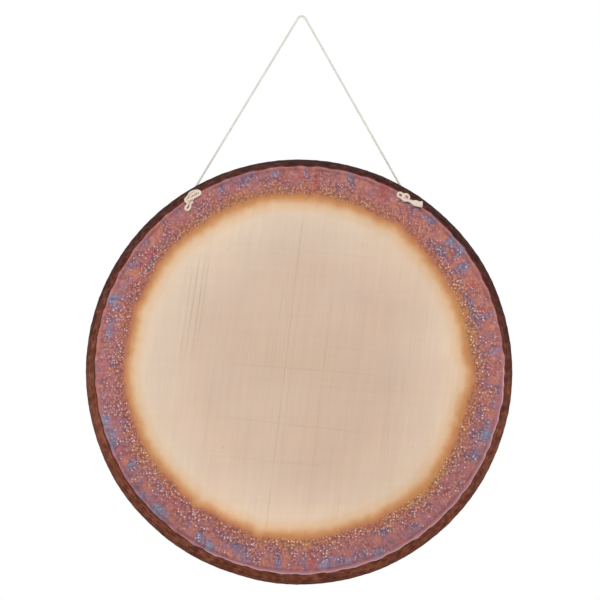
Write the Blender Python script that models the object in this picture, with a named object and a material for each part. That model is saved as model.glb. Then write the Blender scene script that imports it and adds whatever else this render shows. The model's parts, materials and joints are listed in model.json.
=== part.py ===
# Tam gong: a round hammered bronze plate with a turned-back rim, hung from one thin braided cord.
# The cord is one piece: knot, left hole, over the rim, over the hook, over the rim, right hole, knot.
# It is split into stretches where it bends when the gong moves.
# Frame: metres, +Z up, the struck face looks along -Y.
# The origin is the point under the cord's top bend where a hook bears.

import math

import bmesh
import bpy
from mathutils import Matrix, Vector

MM = 0.001

# The plate.
RIM_RADIUS = 300 * MM            # outer edge of the turned-back rim
RIM_DEPTH = 40 * MM              # from the front of the face to the rim's back edge
RIM_FLARE = 11.5 * MM            # the rim leans out by this much from the crease to its edge
CREASE_RADIUS = RIM_RADIUS - RIM_FLARE
CREASE_DROP = 1.2 * MM           # how far the band has sloped back at the crease
FOLD_RADIUS = 4.5 * MM           # outside radius of the fold
BAND_WIDTH = 48.5 * MM           # from the flat ground centre out to the crease
GROUND_RADIUS = CREASE_RADIUS - BAND_WIDTH
RIM_BOW = 0.9 * MM               # outward bow of the rim's wall
SHEET = 1.8 * MM                 # sheet thickness
ROUND_STEPS = 144                # facets round the plate
BAND_STEPS = 3
FOLD_STEPS = 6
RIM_STEPS = 4
HOLE_STEPS = 20
CUTTER_DEPTH = 6 * SHEET         # of the cylinders that cut the holes
SHARP_ANGLE = math.radians(30)   # steeper edges of the plate stay sharp

# The cord and its places on the plate. Angles are from the top of the plate, in degrees.
CORD = 3.0 * MM                  # cord diameter
HOLE_CLEAR = 0.7 * MM            # round the cord in its hole
HOLE = CORD + 2 * HOLE_CLEAR
HOLE_INSET = 4.3 * MM            # from the crease in to the hole's centre
HOLE_ANGLE = 31.8
EDGE_ANGLE = 28.85               # where the cord crosses the rim's back edge
PLATE_TURN = 0.8                 # the plate hangs turned this much to the left, by unequal cord legs
EDGE_CLEAR = 0.8 * MM            # from the rim's back edge to the cord behind it
HANG_HEIGHT = 245.5 * MM         # from the rim's back edge up to the cord's centreline over the hook
BEND_RADIUS = 6.0 * MM           # the cord's centreline over the hook
GAP = 0.3 * MM                   # between neighbouring pieces
CORD_TOP = Vector((0.0, 0.0, CORD / 2))
HANG_DROP = Vector((0.0, 0.0, HANG_HEIGHT))
SIDES = (-1, 1)                  # left and right

# The stretches near the hook turn about the cord's top, so each one starts outside the ball that
# the one before it can reach.
CROWN_REACH = 1.2 * MM           # from the top to the middle of the first stretch's domed end
BEND_LENGTH = 1.5 * MM           # from the bend's flat end to the middle of its domed end
NECK_DROP = 1.6 * MM             # from the neck's flat end down to the axis that the legs swing on
FACE_LENGTH = 0.6 * MM           # a stretch's first step, which sets its flat end square to that ball
SEARCH_STEP = 0.02 * MM

CORD_SIDES = 2                   # bevel resolution, which gives 8 sides
LEG_STEP = 2.5 * CORD
KNOT_STEP = 0.5 * CORD
FINE_STEPS = 24                  # steps between two points of a hand-chosen route, before resampling
LOOP_LENGTH = 1.8 * CORD         # turns of a knot nearer than this along the cord aren't compared
DOME_POINTS = 4
DOME_TIP = math.radians(80)      # where a dome is cut flat

# The cord inside the rim, from the edge crossing to the hole: out along the rim, in towards the
# centre, and forwards, in millimetres from the point behind the edge.
RIM_RUN = [
    (2.7, 1.5, 0.0),
    (5.0, 3.0, 1.1),
    (6.8, 4.3, 4.4),
]
ENTRY_SHARES = (0.35, 0.75)      # places of two more points between the last of these and the hole

# The knots on the front, in millimetres from the hole: right, up and out of the face.
LEFT_KNOT = [
    (0.2, 0.2, 1.4),
    (1.1, 2.5, 2.7),
    (2.1, 4.9, 2.6),
    (4.1, 6.5, 2.5),
    (7.2, 7.4, 2.5),
    (9.7, 9.1, 2.5),
    (8.7, 11.5, 2.5),
    (4.7, 11.6, 2.6),
    (-0.3, 10.1, 2.6),
    (-3.6, 7.8, 2.5),
    (-5.0, 4.9, 2.4),
    (-7.0, 2.3, 2.4),
    (-9.3, -0.6, 2.4),
    (-9.0, -3.5, 2.4),
    (-6.3, -4.6, 2.4),
    (-3.6, -3.2, 2.9),
    (-2.4, -0.9, 3.9),
    (-2.6, 2.0, 5.0),
    (-1.6, 4.9, 6.0),
    (1.3, 7.4, 6.2),
    (5.7, 9.8, 6.2),
    (9.3, 10.9, 6.2),
    (11.3, 9.3, 5.8),
    (10.6, 6.8, 5.4),
    (7.6, 4.5, 5.2),
    (3.9, 2.5, 6.2),
    (0.1, 0.8, 7.8),
    (-3.6, -0.5, 8.2),
    (-6.4, -2.2, 7.6),
    (-6.9, -4.6, 6.8),
    (-6.0, -6.7, 5.6),
    (-7.3, -9.2, 4.0),
    (-9.2, -11.8, 2.8),
    (-8.7, -14.6, 2.4),
    (-6.5, -15.7, 2.4),
    (-4.1, -14.2, 2.4),
    (-2.6, -11.3, 3.0),
    (-2.6, -8.4, 4.6),
    (-1.8, -6.0, 5.8),
    (0.3, -5.0, 6.4),
]

RIGHT_KNOT = [
    (0.0, 0.3, 1.4),
    (-0.3, 1.8, 3.2),
    (-2.4, 4.4, 3.0),
    (-5.0, 6.8, 2.4),
    (-8.1, 7.4, 2.4),
    (-10.3, 5.6, 2.4),
    (-10.0, 3.2, 2.4),
    (-7.7, 1.6, 2.4),
    (-5.0, -0.1, 2.4),
    (-2.5, -2.5, 2.4),
    (0.9, -3.7, 2.4),
    (4.1, -2.0, 2.6),
    (5.4, 1.1, 3.2),
    (4.2, 3.9, 4.2),
    (1.3, 5.1, 5.6),
    (-1.6, 4.1, 7.2),
    (-3.3, 1.6, 7.6),
    (-3.1, -1.2, 7.2),
    (-1.1, -2.8, 6.8),
    (1.7, -3.4, 6.6),
    (4.8, -4.0, 6.2),
    (7.9, -5.0, 5.5),
    (11.3, -6.2, 5.0),
    (15.0, -7.3, 5.0),
    (19.2, -8.5, 5.2),
    (23.8, -9.0, 5.2),
]
RIGHT_TAIL_START = 19.0 * MM     # the melted, spread end is this long
RIGHT_TAIL_RISE = 11.0 * MM      # it widens along this much of it
RIGHT_TAIL_SPREAD = 2.8          # to this many times the cord's diameter


def clear_scene():
    for thing in list(bpy.data.objects):
        bpy.data.objects.remove(thing, do_unlink=True)


def make_material(name, colour, roughness, metallic):
    material = bpy.data.materials.new(name)
    material.use_nodes = True
    shader = material.node_tree.nodes["Principled BSDF"]
    shader.inputs["Base Color"].default_value = (*colour, 1.0)
    shader.inputs["Roughness"].default_value = roughness
    shader.inputs["Metallic"].default_value = metallic
    return material


def add_object(name, data, material):
    thing = bpy.data.objects.new(name, data)
    thing.data.materials.append(material)
    bpy.context.scene.collection.objects.link(thing)
    return thing


def sheet_profile():
    """The outer and inner outlines of the sheet as (radius, depth), from the ground centre to the rim."""
    crease = Vector((CREASE_RADIUS, CREASE_DROP))
    face_way = Vector((CREASE_RADIUS - GROUND_RADIUS, 2 * CREASE_DROP)).normalized()
    rim_way = Vector((RIM_RADIUS - CREASE_RADIUS, RIM_DEPTH - CREASE_DROP))
    rim_length = rim_way.length
    rim_way.normalize()
    turn = face_way.angle(rim_way)
    set_back = FOLD_RADIUS * math.tan(turn / 2)
    fold_start = crease - face_way * set_back
    fold_centre = fold_start + Vector((-face_way.y, face_way.x)) * FOLD_RADIUS
    outer = []
    for step in range(BAND_STEPS):
        share = step / BAND_STEPS
        radius = GROUND_RADIUS + (fold_start.x - GROUND_RADIUS) * share
        outer.append(Vector((radius, fold_start.y * share * share)))
    for step in range(FOLD_STEPS + 1):
        angle = turn * step / FOLD_STEPS
        arm = Matrix.Rotation(angle, 2) @ (fold_start - fold_centre)
        outer.append(fold_centre + arm)
    for step in range(1, RIM_STEPS + 1):
        share = step / RIM_STEPS
        along = set_back + (rim_length - set_back) * share
        bow = RIM_BOW * 4 * share * (1 - share)
        outer.append(crease + rim_way * along + Vector((rim_way.y, -rim_way.x)) * bow)
    inner = []
    for number, point in enumerate(outer):
        before = outer[max(number - 1, 0)]
        after = outer[min(number + 1, len(outer) - 1)]
        way = (after - before).normalized()
        if number == 0:
            way = Vector((1.0, 0.0))
        inner.append(point + Vector((-way.y, way.x)) * SHEET)
    edge_way = (outer[-1] - outer[-2]).normalized()
    inner[-1] = Vector((RIM_RADIUS - SHEET / edge_way.y, RIM_DEPTH))
    return outer, inner


def make_plate(material):
    outer, inner = sheet_profile()
    mesh = bmesh.new()
    rings = []
    for radius, depth in outer + inner[::-1]:
        ring = []
        for step in range(ROUND_STEPS):
            angle = 2 * math.pi * step / ROUND_STEPS
            ring.append(mesh.verts.new((radius * math.sin(angle), depth, radius * math.cos(angle))))
        rings.append(ring)
    mesh.faces.new(rings[0])
    mesh.faces.new(rings[-1][::-1])
    for first, second in zip(rings, rings[1:]):
        for step in range(ROUND_STEPS):
            after = (step + 1) % ROUND_STEPS
            mesh.faces.new((first[step], second[step], second[after], first[after]))
    bmesh.ops.recalc_face_normals(mesh, faces=mesh.faces)
    data = bpy.data.meshes.new("gong_plate")
    mesh.to_mesh(data)
    mesh.free()
    plate = add_object("gong_plate", data, material)
    data.shade_smooth()
    data.set_sharp_from_angle(angle=SHARP_ANGLE)
    return plate


def drill_plate(plate):
    for side in SIDES:
        where = hole_centre(side)
        bpy.ops.mesh.primitive_cylinder_add(vertices=HOLE_STEPS, radius=HOLE / 2, depth=CUTTER_DEPTH)
        cutter = bpy.context.object
        cutter.name = f"hole_cutter_{side_name(side)}"
        cutter.data.transform(Matrix.Rotation(math.pi / 2, 4, "X"))
        cutter.parent = plate
        cutter.location = (where.x, CREASE_DROP, where.z)
        cutter.hide_render = True
        cutter.display_type = "WIRE"
        cut = plate.modifiers.new(f"hole_{side_name(side)}", "BOOLEAN")
        cut.operation = "DIFFERENCE"
        cut.solver = "EXACT"
        cut.object = cutter


def side_name(side):
    return "left" if side < 0 else "right"


def on_plate(side, angle, radius, depth):
    """A point in the plate's own frame, at an angle from its top on one side."""
    turned = math.radians(side * angle - PLATE_TURN)
    return Vector((radius * math.sin(turned), depth, radius * math.cos(turned)))


def hole_centre(side):
    return on_plate(side, HOLE_ANGLE, CREASE_RADIUS - HOLE_INSET, 0.0)


def edge_point(side):
    """Where the middle of the cord passes behind the rim's back edge."""
    depth = RIM_DEPTH + EDGE_CLEAR + CORD / 2
    return on_plate(side, EDGE_ANGLE, RIM_RADIUS - SHEET / 2, depth)


def mesh_centroid(thing):
    """The centre of the volume of a closed object's evaluated mesh, in its own frame."""
    shown = thing.evaluated_get(bpy.context.evaluated_depsgraph_get())
    data = shown.to_mesh()
    data.calc_loop_triangles()
    volume = 0.0
    moment = Vector()
    for triangle in data.loop_triangles:
        a, b, c = (data.vertices[corner].co for corner in triangle.vertices)
        part = a.dot(b.cross(c)) / 6
        volume += part
        moment += part * (a + b + c) / 4
    shown.to_mesh_clear()
    return moment / volume


def add_pivot(name, place, parent=None):
    pivot = bpy.data.objects.new(name, None)
    bpy.context.scene.collection.objects.link(pivot)
    if parent:
        pivot.parent = parent
        place = place - parent.matrix_world.translation
    pivot.location = place
    bpy.context.view_layer.update()
    return pivot


def edge_middle():
    """The point on the line through both edge crossings that hangs under the hook, on the plate."""
    left = edge_point(-1)
    right = edge_point(1)
    return left.lerp(right, left.x / (left.x - right.x))


def hang_plate(plate, parent):
    """Hangs the plate by the two edge crossings, with its weight straight under the hook."""
    hinge = (edge_point(1) - edge_point(-1)).normalized()
    balance = mesh_centroid(plate) - edge_middle()
    lean = math.atan2(-balance.y, hinge.cross(balance).y)
    pivot = add_pivot("edge_pivot", CORD_TOP - HANG_DROP, parent)
    pivot.rotation_mode = "QUATERNION"
    pivot.rotation_quaternion = Matrix.Rotation(lean, 3, hinge).to_quaternion()
    plate.parent = pivot
    plate.location = -edge_middle()
    bpy.context.view_layer.update()
    return pivot


def smooth_line(points, step):
    """Points at an even step along a smooth curve through the given ones."""
    fine = []
    ends = [points[0] * 2 - points[1]] + list(points) + [points[-1] * 2 - points[-2]]
    for number in range(len(points) - 1):
        p0, p1, p2, p3 = ends[number:number + 4]
        t1 = math.sqrt((p1 - p0).length)
        t2 = t1 + math.sqrt((p2 - p1).length)
        t3 = t2 + math.sqrt((p3 - p2).length)
        for fine_step in range(FINE_STEPS):
            t = t1 + (t2 - t1) * fine_step / FINE_STEPS
            a1 = p0.lerp(p1, t / t1)
            a2 = p1.lerp(p2, (t - t1) / (t2 - t1))
            a3 = p2.lerp(p3, (t - t2) / (t3 - t2))
            b1 = a1.lerp(a2, t / t2)
            b2 = a2.lerp(a3, (t - t1) / (t3 - t1))
            fine.append(b1.lerp(b2, (t - t1) / (t2 - t1)))
    fine.append(points[-1].copy())
    reach = [0.0]
    for first, second in zip(fine, fine[1:]):
        reach.append(reach[-1] + (second - first).length)
    count = max(2, round(reach[-1] / step))
    line = []
    place = 0
    for number in range(count + 1):
        goal = reach[-1] * number / count
        while place < len(reach) - 2 and reach[place + 1] < goal:
            place += 1
        share = (goal - reach[place]) / (reach[place + 1] - reach[place])
        line.append(fine[place].lerp(fine[place + 1], share))
    return line


def round_off(line, radii):
    """Ends a line in a dome whose middle is the line's last point."""
    way = (line[-1] - line[-2]).normalized()
    middle = line[-1]
    for number in range(1, DOME_POINTS + 1):
        angle = DOME_TIP * number / DOME_POINTS
        line.append(middle + way * (CORD / 2) * math.sin(angle))
        radii.append(math.cos(angle))


def make_cord(name, line, radii, pivot, material):
    """A stretch of cord along points in world space, placed on its pivot."""
    data = bpy.data.curves.new(name, "CURVE")
    data.dimensions = "3D"
    data.bevel_depth = CORD / 2
    data.bevel_resolution = CORD_SIDES
    data.use_fill_caps = True
    spline = data.splines.new("POLY")
    spline.points.add(len(line) - 1)
    to_pivot = pivot.matrix_world.inverted() if pivot else Matrix.Identity(4)
    for point, place, radius in zip(spline.points, line, radii):
        point.co = (*(to_pivot @ place), 1.0)
        point.radius = radius
    spline.use_smooth = True
    stretch = add_object(name, data, material)
    stretch.parent = pivot
    return stretch


def leg_line(side, edge):
    """Where one leg leaves the bend over the hook, its direction down, and the bend's angle."""
    centre = CORD_TOP - Vector((0.0, 0.0, BEND_RADIUS))
    across = edge - centre
    lean = math.atan2(abs(across.x), -across.z) - math.asin(BEND_RADIUS / across.length)
    way = Vector((side * math.sin(lean), 0.0, -math.cos(lean)))
    leaves = centre + Vector((side * math.cos(lean), 0.0, math.sin(lean))) * BEND_RADIUS
    return leaves, way, math.pi / 2 - lean


def over_hook(side, edge, reach):
    """The point at a distance along the cord from its top, on one side."""
    leaves, way, arc = leg_line(side, edge)
    if reach > arc * BEND_RADIUS:
        return leaves + way * (reach - arc * BEND_RADIUS)
    turned = reach / BEND_RADIUS
    return CORD_TOP + Vector((side * math.sin(turned), 0.0, math.cos(turned) - 1)) * BEND_RADIUS


def leave_ball(side, edge, ball):
    """The distance along the cord from its top at which it leaves a ball about the top."""
    reach = ball
    while (over_hook(side, edge, reach) - CORD_TOP).length < ball:
        reach += SEARCH_STEP
    return reach


def face_points(side, edge, reach):
    """A stretch's first two points, in line with the cord's top."""
    first = over_hook(side, edge, reach)
    outwards = (first - CORD_TOP).normalized()
    return [first, first + outwards * FACE_LENGTH]


def make_crown(edges, material):
    """The short stretch that lies on the hook, with both ends domed."""
    line = [
        over_hook(-1, edges[-1], CROWN_REACH),
        CORD_TOP.copy(),
        over_hook(1, edges[1], CROWN_REACH),
    ]
    radii = [1.0] * len(line)
    for end in range(2):
        round_off(line, radii)
        line.reverse()
        radii.reverse()
    make_cord("cord_over_hook", line, radii, None, material)


def bend_line(side, edge):
    """The bend's centreline up to the middle of its domed end."""
    start = leave_ball(side, edge, CROWN_REACH + CORD / 2 + GAP)
    return face_points(side, edge, start) + [over_hook(side, edge, start + BEND_LENGTH)]


def neck_face(side, edge):
    """The neck's first two points, outside the ball that the bend's domed end can reach."""
    ball = (bend_line(side, edge)[-1] - CORD_TOP).length + CORD / 2 + GAP
    return face_points(side, edge, leave_ball(side, edge, ball))


def swing_point(side, edge, height):
    """Where a leg's line crosses the height of the axis that the legs swing on."""
    leaves, way, _ = leg_line(side, edge)
    return leaves + way * ((leaves.z - height) / -way.z)


def make_side(side, edge, pivots, plate_place, material):
    """The stretches of cord on one side, from the hook to the knot."""
    turn_pivot, sway_pivot, swing_pivot, edge_pivot = pivots
    name = side_name(side)
    line = bend_line(side, edge)
    radii = [1.0] * len(line)
    round_off(line, radii)
    make_cord(f"cord_bend_{name}", line, radii, turn_pivot, material)

    swing = swing_point(side, edge, swing_pivot.matrix_world.translation.z)
    line = neck_face(side, edge) + [swing]
    radii = [1.0] * len(line)
    round_off(line, radii)
    make_cord(f"cord_neck_{name}", line, radii, sway_pivot, material)

    way = (edge - swing).normalized()
    start = swing + way * (CORD / 2 + GAP)
    count = round((edge - start).length / LEG_STEP)
    line = [start.lerp(edge, step / count) for step in range(count + 1)]
    radii = [1.0] * len(line)
    round_off(line, radii)
    make_cord(f"cord_leg_{name}", line, radii, swing_pivot, material)

    make_end(side, edge + way * (CORD / 2 + GAP), plate_place, edge_pivot, material)


def make_end(side, start, plate_place, pivot, material):
    """The cord's end on one side: over the rim, through the hole, and the knot on the front."""
    turned = math.radians(side * EDGE_ANGLE - PLATE_TURN)
    outwards = Vector((math.sin(turned), 0.0, math.cos(turned)))
    along = Vector((side * math.cos(turned), 0.0, -side * math.sin(turned)))
    behind = edge_point(side)
    route = [plate_place.inverted() @ start]
    for out, inwards, forwards in RIM_RUN:
        step = along * out - outwards * inwards - Vector((0.0, forwards, 0.0))
        route.append(behind + step * MM)
    rim_end = route[-1]
    hole = hole_centre(side)
    entry = hole + Vector((0.0, CREASE_DROP + SHEET + CORD, 0.0))
    for share in ENTRY_SHARES:
        route.append(rim_end.lerp(entry, share))
    route.append(entry)
    route.append(hole + Vector((0.0, CREASE_DROP, 0.0)))
    for right, up, out in (LEFT_KNOT if side < 0 else RIGHT_KNOT):
        route.append(hole + Vector((right, -out, up)) * MM)
    line = smooth_line(route, KNOT_STEP)
    radii = [1.0] * len(line)
    if side > 0:
        spread_tail(line, radii)
    name = f"cord_end_{side_name(side)}"
    print(f"{name}: least gap to itself {least_gap(line) / MM:.2f} mm")
    make_cord(name, [plate_place @ point for point in line], radii, pivot, material)


def spread_tail(line, radii):
    """Widens the melted end of the cord towards its tip."""
    to_tip = 0.0
    for number in range(len(line) - 1, 0, -1):
        share = min(1.0, max(0.0, (RIGHT_TAIL_START - to_tip) / RIGHT_TAIL_RISE))
        radii[number] = 1 + (RIGHT_TAIL_SPREAD - 1) * share * share * (3 - 2 * share)
        to_tip += (line[number] - line[number - 1]).length


def least_gap(line):
    """The least gap between turns of a tube, leaving out points that follow each other closely."""
    apart = math.ceil(LOOP_LENGTH / KNOT_STEP)
    least = 1.0
    for first in range(len(line)):
        for second in range(first + apart, len(line)):
            least = min(least, (line[first] - line[second]).length)
    return least - CORD


def main():
    clear_scene()
    bronze = make_material("hammered_bronze", (0.56, 0.34, 0.24), 0.38, 1.0)
    braid = make_material("braided_cord", (0.80, 0.76, 0.67), 0.85, 0.0)
    plate = make_plate(bronze)
    drill_plate(plate)
    middle = CORD_TOP - HANG_DROP - edge_middle()
    edges = {side: edge_point(side) + middle for side in SIDES}
    swing_height = min(neck_face(side, edges[side])[0].z for side in SIDES) - NECK_DROP
    turn_pivot = add_pivot("turn_pivot", CORD_TOP)
    sway_pivot = add_pivot("sway_pivot", CORD_TOP, turn_pivot)
    swing_pivot = add_pivot("swing_pivot", Vector((0.0, 0.0, swing_height)), sway_pivot)
    edge_pivot = hang_plate(plate, swing_pivot)
    pivots = (turn_pivot, sway_pivot, swing_pivot, edge_pivot)
    make_crown(edges, braid)
    for side in SIDES:
        make_side(side, edges[side], pivots, plate.matrix_world, braid)


main()
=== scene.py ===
# Tam gong: hammered plate with a heat-tinted band, and its braided cord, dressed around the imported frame.
# Lengths are in metres and colours are written as they look on screen, from 0 to 255.
import json
import math
import random

import bpy
import numpy as np
from mathutils import Matrix, Vector
from mathutils.kdtree import KDTree


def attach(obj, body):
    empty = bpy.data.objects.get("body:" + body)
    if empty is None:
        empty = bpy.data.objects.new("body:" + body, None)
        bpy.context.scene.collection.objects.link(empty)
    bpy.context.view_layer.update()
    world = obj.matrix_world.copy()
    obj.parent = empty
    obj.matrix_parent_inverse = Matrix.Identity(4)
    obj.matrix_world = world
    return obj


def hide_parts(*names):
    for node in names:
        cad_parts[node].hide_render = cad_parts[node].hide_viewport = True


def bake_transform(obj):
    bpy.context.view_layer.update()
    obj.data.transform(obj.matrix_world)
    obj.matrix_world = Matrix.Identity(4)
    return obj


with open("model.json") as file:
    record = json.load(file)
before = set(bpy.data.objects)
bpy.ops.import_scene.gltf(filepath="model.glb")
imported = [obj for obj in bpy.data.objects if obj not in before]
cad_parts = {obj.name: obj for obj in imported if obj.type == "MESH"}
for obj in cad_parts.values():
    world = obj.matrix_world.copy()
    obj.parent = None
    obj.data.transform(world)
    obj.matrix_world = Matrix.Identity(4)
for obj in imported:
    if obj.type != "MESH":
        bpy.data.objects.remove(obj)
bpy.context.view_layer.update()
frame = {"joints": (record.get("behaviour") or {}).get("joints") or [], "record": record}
mm = 0.001

view = {
    "azimuth": -0.75,          # degrees round from the front
    "elevation": -12.6,        # the camera looks up at the plate
    "roll": 0.37,
    "distance": 3.0,
    "frameWidth": 0.844,       # what the 600 px picture spans
    "plateAt": (299.1, 372.1),     # where the middle of the rim's back edge shows, in pixels
}

plate = {
    "rimRadius": 300 * mm,
    "rimDepth": 40 * mm,
    "rimFlare": 11.5 * mm,
    "creaseDrop": 1.2 * mm,
    "foldRadius": 4.5 * mm,
    "bandWidth": 48.5 * mm,
    "rimBow": 0.9 * mm,
    "sheet": 1.8 * mm,
    "spokes": 1152,            # round the band and the rim, half as many behind
    "bandRings": 34,
    "peenPitch": 4.6 * mm,
    "peenDepth": 0.13 * mm,
    "facetPitch": 13.5 * mm,   # hammer marks on the turned-back rim
    "facetDepth": 0.9 * mm,
    "scallop": 0.75 * mm,      # how far the crease wavers in and out between hammer blows
    "scallopPitch": 17 * mm,
    "seed": 7,
}

cord = {
    "diameter": 3.0 * mm,
    "sides": 24,
    "ringStep": 0.5 * mm,
    "braidLobes": 3,           # diamonds round half the cord
    "braidPitch": 8.5 * mm,
    "braidDepth": 0.2 * mm,
    "bendRadius": 6.0 * mm,
    "hangHeight": 245.5 * mm,
    "edgeClear": 0.8 * mm,
    "legStops": 8.0 * mm,      # before the rim's edge the straight leg ends and the bend over it starts
    "edgeAngle": 28.85,
    "holeAngle": 31.8,
    "holeInset": 4.3 * mm,
    "plateTurn": 0.8,
    "knotSwell": 0.3 * mm,     # the knotted cord is this much thicker
    "endRoundness": 0.9,
}

print("frame loaded")


def pickByName(rows, name):
    return next(row for row in rows if row["name"] == name)


tiltJoint = pickByName(frame["joints"], "tilt")
swingJoint = pickByName(frame["joints"], "swing")
strikeMount = pickByName(frame["record"]["mounts"], "strike_face")
strikeSpot = Vector((10 * mm, 0.0, -20 * mm))      # that mount's place in the plate's own frame


def findPlatePlace():
    # the plate's own frame: x to the right, y from the face to the back, z up the plate
    hinge = Vector(tiltJoint["axis"])
    faceWay = Vector(strikeMount["axis"])
    lean = math.atan2(-faceWay.z / hinge.x, -faceWay.y)
    turned = Matrix.Rotation(lean, 4, hinge)
    turned.translation = Vector(strikeMount["pos_m"]) - turned.to_3x3() @ strikeSpot
    return turned


platePlace = findPlatePlace()
creaseRadius = plate["rimRadius"] - plate["rimFlare"]
groundRadius = creaseRadius - plate["bandWidth"]


# The camera stands at the photo's angle, far enough below the front for the plate to show as it does there.
def addCamera():
    azimuth = math.radians(view["azimuth"])
    elevation = math.radians(view["elevation"])
    back = Vector((
        math.sin(azimuth) * math.cos(elevation),
        -math.cos(azimuth) * math.cos(elevation),
        math.sin(elevation),
    ))
    data = bpy.data.cameras.new("photoCamera")
    data.type = "ORTHO"
    data.ortho_scale = view["frameWidth"]
    camera = bpy.data.objects.new("photoCamera", data)
    bpy.context.scene.collection.objects.link(camera)
    turned = (-back).to_track_quat("-Z", "Y").to_matrix() @ Matrix.Rotation(math.radians(view["roll"]), 3, "Z")
    rimMiddle = platePlace @ Vector((0.0, plate["rimDepth"], 0.0))
    pixel = view["frameWidth"] / 600
    aside = (300 - view["plateAt"][0]) * pixel
    above = (view["plateAt"][1] - 300) * pixel
    place = rimMiddle + turned @ Vector((aside, above, view["distance"]))
    camera.matrix_world = Matrix.Translation(place) @ turned.to_4x4()
    bpy.context.scene.camera = camera
    return camera


addCamera()


# given routes, in millimetres: inside the rim they go out along it, in and forwards,
# and the knots go right, up and out of the face, from the hole
rimRun = [(2.7, 1.5, 0.0), (5.0, 3.0, 1.1), (6.8, 4.3, 4.4)]
entryShares = (0.35, 0.75)
leftKnot = [
    (0.2, 0.2, 1.4), (1.1, 2.5, 2.7), (2.1, 4.9, 2.6), (4.1, 6.5, 2.5), (7.2, 7.4, 2.5),
    (9.7, 9.1, 2.5), (8.7, 11.5, 2.5), (4.7, 11.6, 2.6), (-0.3, 10.1, 2.6), (-3.6, 7.8, 2.5),
    (-5.0, 4.9, 2.4), (-7.0, 2.3, 2.4), (-9.3, -0.6, 2.4), (-9.0, -3.5, 2.4), (-6.3, -4.6, 2.4),
    (-3.6, -3.2, 2.9), (-2.4, -0.9, 3.9), (-2.6, 2.0, 5.0), (-1.6, 4.9, 6.0), (1.3, 7.4, 6.2),
    (5.7, 9.8, 6.2), (9.3, 10.9, 6.2), (11.3, 9.3, 5.8), (10.6, 6.8, 5.4), (7.6, 4.5, 5.2),
    (3.9, 2.5, 6.2), (0.1, 0.8, 7.8), (-3.6, -0.5, 8.2), (-6.4, -2.2, 7.6), (-6.9, -4.6, 6.8),
    (-6.0, -6.7, 5.6), (-7.3, -9.2, 4.0), (-9.2, -11.8, 2.8), (-8.7, -14.6, 2.4), (-6.5, -15.7, 2.4),
    (-4.1, -14.2, 2.4), (-2.6, -11.3, 3.0), (-2.6, -8.4, 4.6), (-1.8, -6.0, 5.8), (0.3, -5.0, 6.4),
]
rightKnot = [
    (0.0, 0.3, 1.4), (-0.3, 1.8, 3.2), (-2.4, 4.4, 3.0), (-5.0, 6.8, 2.4), (-8.1, 7.4, 2.4),
    (-10.3, 5.6, 2.4), (-10.0, 3.2, 2.4), (-7.7, 1.6, 2.4), (-5.0, -0.1, 2.4), (-2.5, -2.5, 2.4),
    (0.9, -3.7, 2.4), (4.1, -2.0, 2.6), (5.4, 1.1, 3.2), (4.2, 3.9, 4.2), (1.3, 5.1, 5.6),
    (-1.6, 4.1, 7.2), (-3.3, 1.6, 7.6), (-3.1, -1.2, 7.2), (-1.1, -2.8, 6.8), (1.7, -3.4, 6.6),
    (4.8, -4.0, 6.2), (7.9, -5.0, 5.5), (11.3, -6.2, 5.0), (15.0, -7.3, 5.0), (19.2, -8.5, 5.2),
    (23.8, -9.0, 5.2),
]
sideNames = {-1: "Left", 1: "Right"}


def onPlate(side, angle, radius, depth):
    turned = math.radians(side * angle - cord["plateTurn"])
    return Vector((radius * math.sin(turned), depth, radius * math.cos(turned)))


def holeCentre(side):
    return onPlate(side, cord["holeAngle"], creaseRadius - cord["holeInset"], 0.0)


def edgePoint(side):
    depth = plate["rimDepth"] + cord["edgeClear"] + cord["diameter"] / 2
    return onPlate(side, cord["edgeAngle"], plate["rimRadius"] - plate["sheet"] / 2, depth)


def smoothLine(points, step):
    # a smooth curve through the points, read off at an even step
    fine = []
    ends = [points[0] * 2 - points[1]] + list(points) + [points[-1] * 2 - points[-2]]
    for number in range(len(points) - 1):
        p0, p1, p2, p3 = ends[number:number + 4]
        t1 = math.sqrt((p1 - p0).length)
        t2 = t1 + math.sqrt((p2 - p1).length)
        t3 = t2 + math.sqrt((p3 - p2).length)
        for fineStep in range(24):
            t = t1 + (t2 - t1) * fineStep / 24
            a1 = p0.lerp(p1, t / t1)
            a2 = p1.lerp(p2, (t - t1) / (t2 - t1))
            a3 = p2.lerp(p3, (t - t2) / (t3 - t2))
            b1 = a1.lerp(a2, t / t2)
            b2 = a2.lerp(a3, (t - t1) / (t3 - t1))
            fine.append(b1.lerp(b2, (t - t1) / (t2 - t1)))
    fine.append(points[-1].copy())
    return evenLine(fine, step)


def evenLine(points, step):
    rough = np.array(points, float)
    reach = np.concatenate([[0.0], np.cumsum(np.linalg.norm(np.diff(rough, axis=0), axis=1))])
    count = max(2, round(reach[-1] / step))
    goal = np.linspace(0.0, reach[-1], count + 1)
    return np.stack([np.interp(goal, reach, rough[:, axis]) for axis in range(3)], axis=1)


def hookLine(side, edge):
    # from the cord's top round the bend and down the leg, to a little before the rim's edge
    top = Vector((0.0, 0.0, cord["diameter"] / 2))
    radius = cord["bendRadius"]
    centre = top - Vector((0.0, 0.0, radius))
    across = edge - centre
    lean = math.atan2(abs(across.x), -across.z) - math.asin(radius / across.length)
    way = Vector((side * math.sin(lean), 0.0, -math.cos(lean)))
    arc = math.pi / 2 - lean
    points = []
    for number in range(25):
        turned = arc * number / 24
        points.append(centre + Vector((side * math.sin(turned), 0.0, math.cos(turned))) * radius)
    points.append(edge - way * cord["legStops"])
    return evenLine(points, cord["ringStep"]), way


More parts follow.
